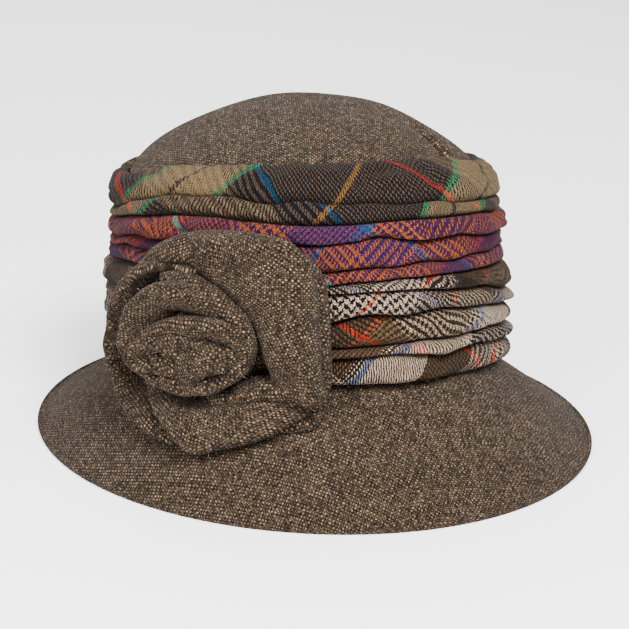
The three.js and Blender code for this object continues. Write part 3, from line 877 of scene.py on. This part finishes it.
def band(name, level, material):
    """One gathered band, its cloth on the bias and pulled askew here and there."""
    outer, inner, tucked, directions = band_grids(name, level)
    outer_ring = np.concatenate([outer, outer[:, :1]], axis=1)
    up_cloth = lengths(outer_ring, 0) + tucked[:, None]
    round_length = REPEAT_YARNS * REPEATS_ROUND * PLAID_YARN / MM * math.sqrt(2)
    angle = np.append(directions, 180.0)
    pleat = tucked[:, None] / HIDDEN_CLOTH
    slow_pull = SLOW_PULL * np.sin(np.radians(2 * angle + 40 * pleat))
    quick_pull = QUICK_PULL * np.sin(np.radians(3 * angle) + 1.7 * pleat)
    along_cloth = angle / FULL_TURN * round_length + slow_pull + quick_pull
    cloth_map = turned(along_cloth * MM, up_cloth * MM, BIAS)
    return cloth_mesh(f"band_{name}_cloth", outer, inner, cloth_map, True, material)


band_lower = band("lower", 0, plaid_lower)
band_middle = band("middle", 1, plaid_middle)
band_upper = band("upper", 2, plaid_upper)

# %% [markdown]
# ## Rose
# The rose is a strip of doubled tweed, folded over and wound up. Its outer turns lie open as broad
# petals, and the inner ones stand as soft rims about a rolled heart. Places on it are given as
# sideways and upwards from its middle and out from the bands, all in millimetres.

# %% Points on the rose
ROSE_DIRECTION = -55
ROSE_HEIGHT = 76
PETAL_CLOTH = 2.5
ROSE_LEAN_BELOW = 30
ROSE_LEAN = 0.7


def on_rose(sideways, upwards, out):
    """Points of the rose, whose lowest part leans outwards over the brim."""
    sideways, upwards, out = np.broadcast_arrays(sideways, upwards, out)
    facing = math.radians(ROSE_DIRECTION)
    radius = math.hypot(CROWN_HALF_WIDTH * math.cos(facing), CROWN_HALF_LENGTH * math.sin(facing))
    radius += BAND_DEPTHS["lower"]
    direction = ROSE_DIRECTION + np.degrees(sideways / radius)
    lean = ROSE_LEAN * np.maximum(0, -upwards - ROSE_LEAN_BELOW)
    away = BAND_DEPTHS["lower"] + SEWN_GAP + out + lean
    points = on_crown(direction, np.full(np.shape(direction), float(SHOULDER_HEIGHT)), away)
    points[..., 2] = ROSE_HEIGHT + upwards
    return points


def folded_sheet(name, middle, thickness, grain, round_about=False, flat_plan=None):
    """A sheet of tweed about a middle surface. A flat plan replaces its lengths as its map."""
    normal = normals_of(middle, round_about)
    front, back = middle + normal * thickness / 2, middle - normal * thickness / 2
    ring = np.concatenate([middle, middle[:, :1]], axis=1) if round_about else middle
    across, along = lengths(ring, 0), lengths(ring, 1)
    halfway = along[len(along) // 2][None, :] + 0 * along
    cloth_map = turned(halfway * MM, across * MM, grain)
    if flat_plan is not None:
        plan = np.concatenate([flat_plan, flat_plan[:, :1]], axis=1)
        cloth_map = turned(plan[..., 0] * MM, plan[..., 1] * MM, grain)
    return cloth_mesh(name, front, back, cloth_map, round_about, tweed)


print("middle of the rose:", on_rose(np.array(0.0), np.array(0.0), np.array(0.0)).round(1))

# %% Petals
PETAL_TABLES = {
    "outer": {
        "turn": (-28, -22, -12, 5, 20, 30, 44, 56, 68, 86, 106, 126, 146),
        "root": (42, 40, 36, 32, 29, 27, 26, 26, 27, 28, 28, 28, 28),
        "reach": (65, 63.5, 59, 57.5, 60, 63.5, 61.5, 54.5, 48.5, 42.5, 38.5, 36, 34),
        "rise": (14.5, 16, 17, 17, 17, 17, 16.5, 16, 15.5, 14.5, 13, 11, 8),
        "hollow": (0.2, 0.1, 0, 0, 0, 0, 0, 0, 0, 0.2, 0.4, 0.6, 0.6),
    },
    "left": {
        "turn": (70, 90, 112, 130, 150, 172, 192, 204, 214, 226, 240, 256, 272),
        "root": (27, 27, 26.5, 26, 26, 29, 35, 40, 43.5, 43, 37, 34, 32),
        "reach": (28, 29, 31, 33, 34.5, 37.5, 42, 46.5, 51, 53.5, 52, 52, 51),
        "rise": (9, 13, 16.5, 17.5, 17.5, 17, 16.5, 16, 14.5, 11, 8, 6, 4),
        "hollow": (0.2, 0.3, 0.4, 0.5, 0.6, 0.8, 1, 1, 1, 1, 1, 1, 1),
    },
    "lower": {
        "turn": (233, 246, 262, 275, 281, 291, 301, 312, 322, 332, 341),
        "root": (29, 28, 28, 28, 28, 28, 30, 33, 37, 44, 51),
        "reach": (36.5, 38.5, 42, 48, 52.5, 52.5, 53.5, 56.5, 59.5, 64, 66),
        "rise": (11, 13.5, 15, 15.5, 15, 14.5, 14, 13, 11.5, 9, 6),
        "hollow": (1, 1, 1, 1, 1, 1, 1, 1, 0.9, 0.7, 0.5),
    },
}
BASE_PETAL = {
    "turn": (-180, -135, -90, -45, -35, -22, -2, 15, 28, 48, 90, 135),
    "reach": (34, 46, 34, 60, 69.5, 66.5, 62, 63, 64, 54, 36, 30),
}
BASE_PETAL_HOLE = 5
BASE_CURL = 3.0
SECTION_REACH = (0.0, 0.05, 0.16, 0.34, 0.55, 0.76, 0.9, 0.98, 1.0, 0.97, 0.88)
OPEN_RISE = (0.0, 0.5, 0.84, 0.99, 1.0, 0.93, 0.8, 0.6, 0.42, 0.24, 0.12)
HOLLOW_RISE = (0.0, 0.0, 0.06, 0.9, 1.0, 0.95, 0.82, 0.6, 0.42, 0.24, 0.12)
DENTS = {
    "outer": (
        (2, 40, 5.5, 3.4), (7, 34, 4.5, 2.6), (12, 41, 6, -1.6), (20, 31, 6, 2.8), (28, 38, 9, -1.2),
        (44, 4, 12, -1.0), (48, -18, 7, 2.2), (33, 18, 8, 1.0),
    ),
    "left": ((-30, -30, 7, 1.5), (-14, -40, 7, -1.0)),
    "lower": ((6, -38, 7, -1.2), (16, -44, 8, 1.0), (34, -37, 8, -1.2), (44, -30, 6, 1.4)),
}


PETAL_COLUMNS = 150
PETAL_ROWS = 64
PETAL_WAVE = 0.8
PETAL_WAVE_LENGTH = 20


def petal(name, grain, seed):
    """A petal folded outwards from its root beside the coil, with its rim rolled under."""
    table = PETAL_TABLES[name]
    turn = np.linspace(table["turn"][0], table["turn"][-1], PETAL_COLUMNS)
    root, rim, rise, hollow = (read_along(table["turn"], table[column], turn)
                               for column in ("root", "reach", "rise", "hollow"))
    knots = np.linspace(0, 1, len(SECTION_REACH))
    at = np.linspace(0, 1, PETAL_ROWS)[:, None]
    reach = read_along(knots, SECTION_REACH, at)
    lift = read_along(knots, OPEN_RISE, at) * (1 - hollow) + read_along(knots, HOLLOW_RISE, at) * hollow
    radius = root + (rim - root) * reach
    sideways = radius * np.cos(np.radians(turn))
    upwards = radius * np.sin(np.radians(turn))
    out = PETAL_CLOTH + 2 * SEWN_GAP + rise * lift
    out = out + PETAL_WAVE * lift * ripple(sideways, upwards, PETAL_WAVE_LENGTH, seed)
    for dent_sideways, dent_upwards, size, depth in DENTS[name]:
        gap = np.hypot(sideways - dent_sideways, upwards - dent_upwards)
        out = out - depth * lift * np.exp(-(gap / size) ** 2)
    return folded_sheet(f"rose_{name}_petal_cloth", on_rose(sideways, upwards, out), PETAL_CLOTH, grain)


outer_petal = petal("outer", 30, 51)
left_petal = petal("left", 60, 52)
lower_petal = petal("lower", -25, 53)

# %% Base petal
BASE_COLUMNS = 180
BASE_ROWS = 34
CURL_RISES = (0.7, 0.9)
CURL_FALLS = (0.93, 1.0)
CURLED_REACH = (40, 60)


def ramp(value, limits):
    """A share that goes from 0 to 1 between two limits."""
    return np.clip((value - limits[0]) / (limits[1] - limits[0]), 0, 1)


base_turn = -180 + np.arange(BASE_COLUMNS) * FULL_TURN / BASE_COLUMNS
base_rim = read_round(BASE_PETAL["turn"], BASE_PETAL["reach"], base_turn)
base_share = np.linspace(0, 1, BASE_ROWS)[:, None]
base_radius = BASE_PETAL_HOLE + (base_rim - BASE_PETAL_HOLE) * base_share
base_angle = np.radians(base_turn)
base_plan = base_radius[..., None] * np.stack([np.cos(base_angle), np.sin(base_angle)], axis=-1)
curl = BASE_CURL * ramp(base_share, CURL_RISES) * (1 - ramp(base_share, CURL_FALLS) ** 2)
base_out = PETAL_CLOTH / 2 + curl * ramp(base_rim, CURLED_REACH)
base_middle = on_rose(base_plan[..., 0], base_plan[..., 1], base_out)
base_petal = folded_sheet("rose_base_petal_cloth", base_middle, PETAL_CLOTH, 15, True, base_plan)

# %% [markdown]
# The middle of the rose is the same strip wound tighter. Each turn is a doubled edge: round at the
# top, upright outside and hollow towards the middle. A path gives the top edge of a turn, and a
# small section is carried along it. A soft cushion of folded cloth fills the inside of the turns.

# %% Turns of the coil
TURN_SECTION = {
    "out": (-11.0, -9.0, -6.2, -3.2, -1.2, 0.4, 1.8, 2.6, 2.6, 1.6, 0.0),
    "up": (-14.0, -8.0, -4.0, -1.4, -0.3, 0.0, -0.8, -2.8, -7.0, -13.0, -20.0),
}
COIL_PATH = (
    (20, 10, 22, 0.7), (17, 15, 27, 0.9), (12, 19.5, 30, 1.0), (4, 21.5, 32, 1.0), (-5, 19, 32, 1.0),
    (-13, 9.5, 31.5, 1.0), (-18.5, -1, 30, 0.8), (-20.5, -10, 28.5, 0.5), (-16.5, -16.5, 27, 0.4),
    (-8.5, -21.5, 26, 0.35), (1.5, -24, 26, 0.35), (12, -22.5, 26, 0.35), (22, -17, 26, 0.35),
    (28, -10.5, 25.5, 0.4), (30.5, -2, 25, 0.45), (29, 7, 24.5, 0.5), (22.5, 14.5, 24, 0.5),
    (12, 21, 22.5, 0.5), (2, 23.5, 21, 0.4), (-8, 22.5, 18, 0.3),
)
MIDDLE_PATH = (
    (29, -9, 22, 0.4), (30, -2, 27, 0.5), (26, 4.5, 29, 0.7), (17, 8, 30.3, 0.8), (6, 6.5, 31, 0.8),
    (-4, 1, 31, 0.7), (-10, -5.5, 31, 0.6), (-12, -12, 30, 0.5), (-7.5, -18, 29, 0.4),
    (3, -20.5, 27.5, 0.35), (13, -18.5, 25, 0.35), (19, -14.5, 22, 0.3),
)
LEAF_PATH = (
    (3, -19.5, 24, 0.5), (7.5, -14.5, 29.5, 0.6), (12.5, -9.5, 31.6, 0.6), (19, -6, 31.6, 0.6),
    (25, -5, 29.5, 0.5), (29, -7, 24, 0.4),
)
HEART_WRAP = (
    (14, -3, 27.5, 0.5), (9, -1, 30.5, 0.5), (2, -1.5, 32.3, 0.5), (-5, -4, 33, 0.45),
    (-9.5, -8, 33, 0.4), (-8, -13, 32, 0.35), (-2, -15, 30.5, 0.3), (5, -14, 28, 0.3),
)
HEART_EYE = (
    (7, -10, 27.5, 0.3), (3.5, -4.5, 32, 0.3), (-3.5, -2.4, 34, 0.3), (-10.2, -6, 34.8, 0.25),
    (-11, -12, 34.4, 0.22), (-6, -15.2, 33.6, 0.2), (-1.4, -12, 33, 0.2), (-3, -7.6, 32.2, 0.15),
    (-6.4, -8.4, 30.5, 0.1),
)
SMALL_FOLD_PATH = (
    (6, -31.5, 9, 0.4), (13, -29.5, 15, 0.4), (25, -26.5, 16.5, 0.4), (35, -23, 16.5, 0.4),
    (45, -23, 15, 0.4), (55, -20, 10, 0.4),
)
TURN_CLOTH = 1.8
TURN_ROWS = 34
TURN_WANDER = 0.5
TURN_WANDER_LENGTH = 16
RIM_WAVE = 0.35
RIM_WAVE_LENGTH = 11


def rose_turn(name, path, outer_share, foot_share, grain, seed, columns):
    """A doubled edge of cloth carried along a path of sideways, upwards, out and hollow."""
    line = through(path, columns)
    heading = np.gradient(line[:, :2], axis=0)
    heading /= np.linalg.norm(heading, axis=1, keepdims=True)
    side = np.stack([heading[:, 1], -heading[:, 0]], axis=-1)
    knots = np.linspace(0, 1, len(TURN_SECTION["out"]))
    at = np.linspace(0, 1, TURN_ROWS)
    out_section = read_along(knots, TURN_SECTION["out"], at)[:, None]
    up_section = read_along(knots, TURN_SECTION["up"], at)[:, None] * foot_share
    reach = np.where(out_section < 0, out_section * line[:, 3], out_section * outer_share)
    distance = lengths(line[None, :, :2], 1)[0]
    softness = TURN_WANDER * ripple(distance, 0 * distance, TURN_WANDER_LENGTH, seed)
    sideways = line[:, 0] + side[:, 0] * (reach + softness)
    upwards = line[:, 1] + side[:, 1] * (reach + softness)
    height = np.maximum(line[:, 2] + up_section, PETAL_CLOTH + 2)
    height = height + RIM_WAVE * ripple(distance, 9 * at[:, None], RIM_WAVE_LENGTH, seed + 20)
    return folded_sheet(name, on_rose(sideways, upwards, height), TURN_CLOTH, grain)


coil = rose_turn("rose_coil_cloth", COIL_PATH, 1.0, 1.0, 20, 61, 260)
coil_middle = rose_turn("rose_coil_middle_cloth", MIDDLE_PATH, 1.0, 0.9, 50, 62, 170)
coil_inner = rose_turn("rose_coil_inner_cloth", LEAF_PATH, 2.4, 0.7, -20, 63, 80)
heart_wrap = rose_turn("rose_heart_wrap_cloth", HEART_WRAP, 0.9, 0.7, 35, 64, 110)
heart = rose_turn("rose_heart_cloth", HEART_EYE, 0.6, 0.7, 10, 65, 90)

# %% Cushion and small fold
CUSHION = {"sideways": 7, "upwards": -7, "half_width": 25, "half_height": 16, "top": 29.5, "fall": 12,
           "slant": 0.12, "crease": 0.7, "crease_length": 13}
CUSHION_COLUMNS = 72
CUSHION_ROWS = 26
CUSHION_HOLE = 0.004

cushion_turn = np.radians(np.arange(CUSHION_COLUMNS) * FULL_TURN / CUSHION_COLUMNS)
cushion_share = np.linspace(CUSHION_HOLE, 1, CUSHION_ROWS)[:, None]
cushion_sideways = CUSHION["sideways"] + CUSHION["half_width"] * cushion_share * np.cos(cushion_turn)
cushion_upwards = CUSHION["upwards"] + CUSHION["half_height"] * cushion_share * np.sin(cushion_turn)
creases = ripple(cushion_sideways, cushion_upwards * 1.8, CUSHION["crease_length"], 66)
cushion_out = CUSHION["top"] - CUSHION["fall"] * cushion_share ** 3 + CUSHION["crease"] * creases
cushion_out = cushion_out - CUSHION["slant"] * (cushion_sideways + 6)
cushion_middle = on_rose(cushion_sideways, cushion_upwards, cushion_out)
cushion_plan = np.stack([cushion_sideways, cushion_upwards], axis=-1)
cushion = folded_sheet("rose_heart_cushion_cloth", cushion_middle, TURN_CLOTH, 25, True, cushion_plan)
small_fold = rose_turn("rose_small_fold_cloth", SMALL_FOLD_PATH, 1.3, 0.6, 40, 67, 90)

# %% [markdown]
# ## Loose wool
# Wool is hairy: fine fibres stand off the tweed and blur its outline. Geometry Nodes are the way to
# scatter thousands of them: one tree spreads points over the cloth, sets a short bent hair on each
# and turns them at random. The result is made one plain mesh.

# %% Hairs on the tweed
HAIR_BEND = {"Start": (0, 0, 0), "Middle": (0.1, 0, 0.5), "End": (0.55, 0.1, 0.8)}
HAIR_TILT = 0.6
HAIR_SIZES = {"Hairs per square metre": 14000.0, "Length": 0.0022, "Thickness": 0.00003, "Seed": 5}
LOWEST_HAIR = 0.0002
WOOL_SHADES = ((0.35, (0.10, 0.075, 0.055)), (0.65, (0.34, 0.28, 0.22)))
WOOL_SHADES_IN_A_METRE = 900


def wool_tree(material):
    """A tree that grows short bent hairs on the mesh it is given."""
    tree = bpy.data.node_groups.new("loose wool", "GeometryNodeTree")
    tree.interface.new_socket("Geometry", in_out="INPUT", socket_type="NodeSocketGeometry")
    sizes = (("Hairs per square metre", "NodeSocketFloat"), ("Length", "NodeSocketFloat"),
             ("Thickness", "NodeSocketFloat"), ("Seed", "NodeSocketInt"))
    for name, kind in sizes:
        tree.interface.new_socket(name, in_out="INPUT", socket_type=kind)
    tree.interface.new_socket("Geometry", in_out="OUTPUT", socket_type="NodeSocketGeometry")

    def add(kind, **inputs):
        spaced = {name.replace("_", " "): value for name, value in inputs.items()}
        return feed_all(tree, tree.nodes.new(kind), spaced)

    given = tree.nodes.new("NodeGroupInput").outputs
    spread = add("GeometryNodeDistributePointsOnFaces", Mesh=given["Geometry"],
                 Density=given["Hairs per square metre"], Seed=given["Seed"])
    line = add("GeometryNodeCurveQuadraticBezier", Resolution=4, **HAIR_BEND)
    ring = add("GeometryNodeCurvePrimitiveCircle", Resolution=3, Radius=given["Thickness"])
    scaled = add("GeometryNodeTransform", Geometry=line.outputs["Curve"])
    length = given["Length"]
    size = add("ShaderNodeCombineXYZ", X=length, Y=length, Z=length)
    feed(tree, scaled.inputs["Scale"], size.outputs["Vector"])
    hair = add("GeometryNodeCurveToMesh", Curve=scaled.outputs["Geometry"],
               Profile_Curve=ring.outputs["Curve"], Fill_Caps=True)
    spin = add("FunctionNodeRandomValue", Seed=given["Seed"])
    spin.data_type = "FLOAT_VECTOR"
    spin.inputs[0].default_value = (-HAIR_TILT, -HAIR_TILT, 0.0)
    spin.inputs[1].default_value = (HAIR_TILT, HAIR_TILT, 2 * math.pi)
    turned_hair = add("FunctionNodeRotateRotation", Rotation=spread.outputs["Rotation"])
    turned_hair.rotation_space = "LOCAL"
    tree.links.new(spin.outputs["Value"], turned_hair.inputs["Rotate By"])
    grown = add("GeometryNodeInstanceOnPoints", Points=spread.outputs["Points"],
                Instance=hair.outputs["Mesh"], Rotation=turned_hair.outputs["Rotation"])
    real = add("GeometryNodeRealizeInstances", Geometry=grown.outputs["Instances"])
    coloured = add("GeometryNodeSetMaterial", Geometry=real.outputs["Geometry"])
    coloured.inputs["Material"].default_value = material
    result = tree.nodes.new("NodeGroupOutput")
    tree.links.new(coloured.outputs["Geometry"], result.inputs["Geometry"])
    return tree


wool, wool_nodes, wool_shader = add_material("loose wool")
place = wool_nodes.nodes.new("ShaderNodeTexCoord")
wool_shade = fine_noise(wool_nodes, place.outputs["Object"], WOOL_SHADES_IN_A_METRE)
wool_colour = colour_ramp(wool_nodes, wool_shade, WOOL_SHADES)
feed_all(wool_nodes, wool_shader, {"Base Color": wool_colour, "Roughness": 0.8, "Specular IOR Level": 0.2})


def grow_wool(name, carriers, sizes):
    """One mesh of hairs over some pieces of cloth, none of them below the floor."""
    work = bmesh.new()
    for carrier in carriers:
        work.from_mesh(carrier.data)
    mesh = bpy.data.meshes.new(name)
    work.to_mesh(mesh)
    work.free()
    piece = add_object(name, mesh)
    modifier = piece.modifiers.new("loose wool", "NODES")
    modifier.node_group = wool_tree(wool)
    for item in modifier.node_group.interface.items_tree:
        if item.item_type == "SOCKET" and item.in_out == "INPUT" and item.name in sizes:
            modifier[item.identifier] = sizes[item.name]
    seen = piece.evaluated_get(bpy.context.evaluated_depsgraph_get())
    grown = bpy.data.meshes.new_from_object(seen)
    piece.modifiers.clear()
    points = np.empty(len(grown.vertices) * 3, np.float32)
    grown.vertices.foreach_get("co", points)
    points[2::3] = np.maximum(points[2::3], LOWEST_HAIR)
    grown.vertices.foreach_set("co", points)
    piece.data = grown
    grown.name = name
    print(name, len(grown.polygons), "faces")
    return piece


tweed_pieces = [crown, brim, outer_petal, left_petal, lower_petal, base_petal,
                coil, coil_middle, coil_inner, heart_wrap, heart, cushion, small_fold]
fuzz = grow_wool("loose_wool", tweed_pieces, HAIR_SIZES)

# %% [markdown]
# ## What each piece stands for
# Every piece rides with the hat and replaces its plain solid; the table also lists the cloth that it is
# cut from.
# The flat sizes are those of the cut cloth before it is shaped.

# %% Pieces and their solids
ON_CROWN = ("crown_cloth",)
ON_LOWER_BAND = ("band_lower_cloth",)
ON_BASE_PETAL = ("rose_base_petal_cloth",)
SHEETS = (
    (crown, "crown", "tweed", (0.40, 0.36), 0.095, "stretched", ("brim_cloth",)),
    (brim, "brim", "tweed", (0.36, 0.40), 0.060, "stretched", ()),
    (band_lower, "band_lower", "plaid_lower", (0.62, 0.085), None, "gathered", ON_CROWN),
    (band_middle, "band_middle", "plaid_middle", (0.60, 0.045), None, "gathered", ON_CROWN),
    (band_upper, "band_upper", "plaid_upper", (0.58, 0.040), None, "gathered", ON_CROWN),
    (base_petal, "rose_base_petal", "tweed", (0.12, 0.105), 0.0068, "laid", ON_LOWER_BAND),
    (outer_petal, "rose_outer_petal", "tweed", (0.14, 0.05), None, "folded", ON_BASE_PETAL),
    (left_petal, "rose_left_petal", "tweed", (0.135, 0.04), None, "folded", ON_BASE_PETAL),
    (lower_petal, "rose_lower_petal", "tweed", (0.10, 0.045), None, "folded", ON_LOWER_BAND),
    (small_fold, "rose_lower_petal", "tweed", (0.06, 0.028), None, "folded", ON_BASE_PETAL),
    (coil, "rose_coil", "tweed", (0.20, 0.04), None, "folded", ON_BASE_PETAL),
    (coil_middle, "rose_coil", "tweed", (0.105, 0.035), None, "folded", ON_BASE_PETAL),
    (coil_inner, "rose_coil", "tweed", (0.04, 0.035), None, "folded", ON_BASE_PETAL),
    (heart_wrap, "rose_heart", "tweed", (0.05, 0.028), None, "folded", ON_BASE_PETAL),
    (heart, "rose_heart", "tweed", (0.05, 0.028), None, "folded", ON_BASE_PETAL),
    (cushion, "rose_heart", "tweed", (0.055, 0.037), 0.0014, "laid", ON_BASE_PETAL),
)

for piece, solid, finish, flat, area, held, rests_on in SHEETS:
    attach(piece, "root")
    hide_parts(solid)
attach(fuzz, "root")
print("pieces:", [row[0].name for row in SHEETS] + [fuzz.name])
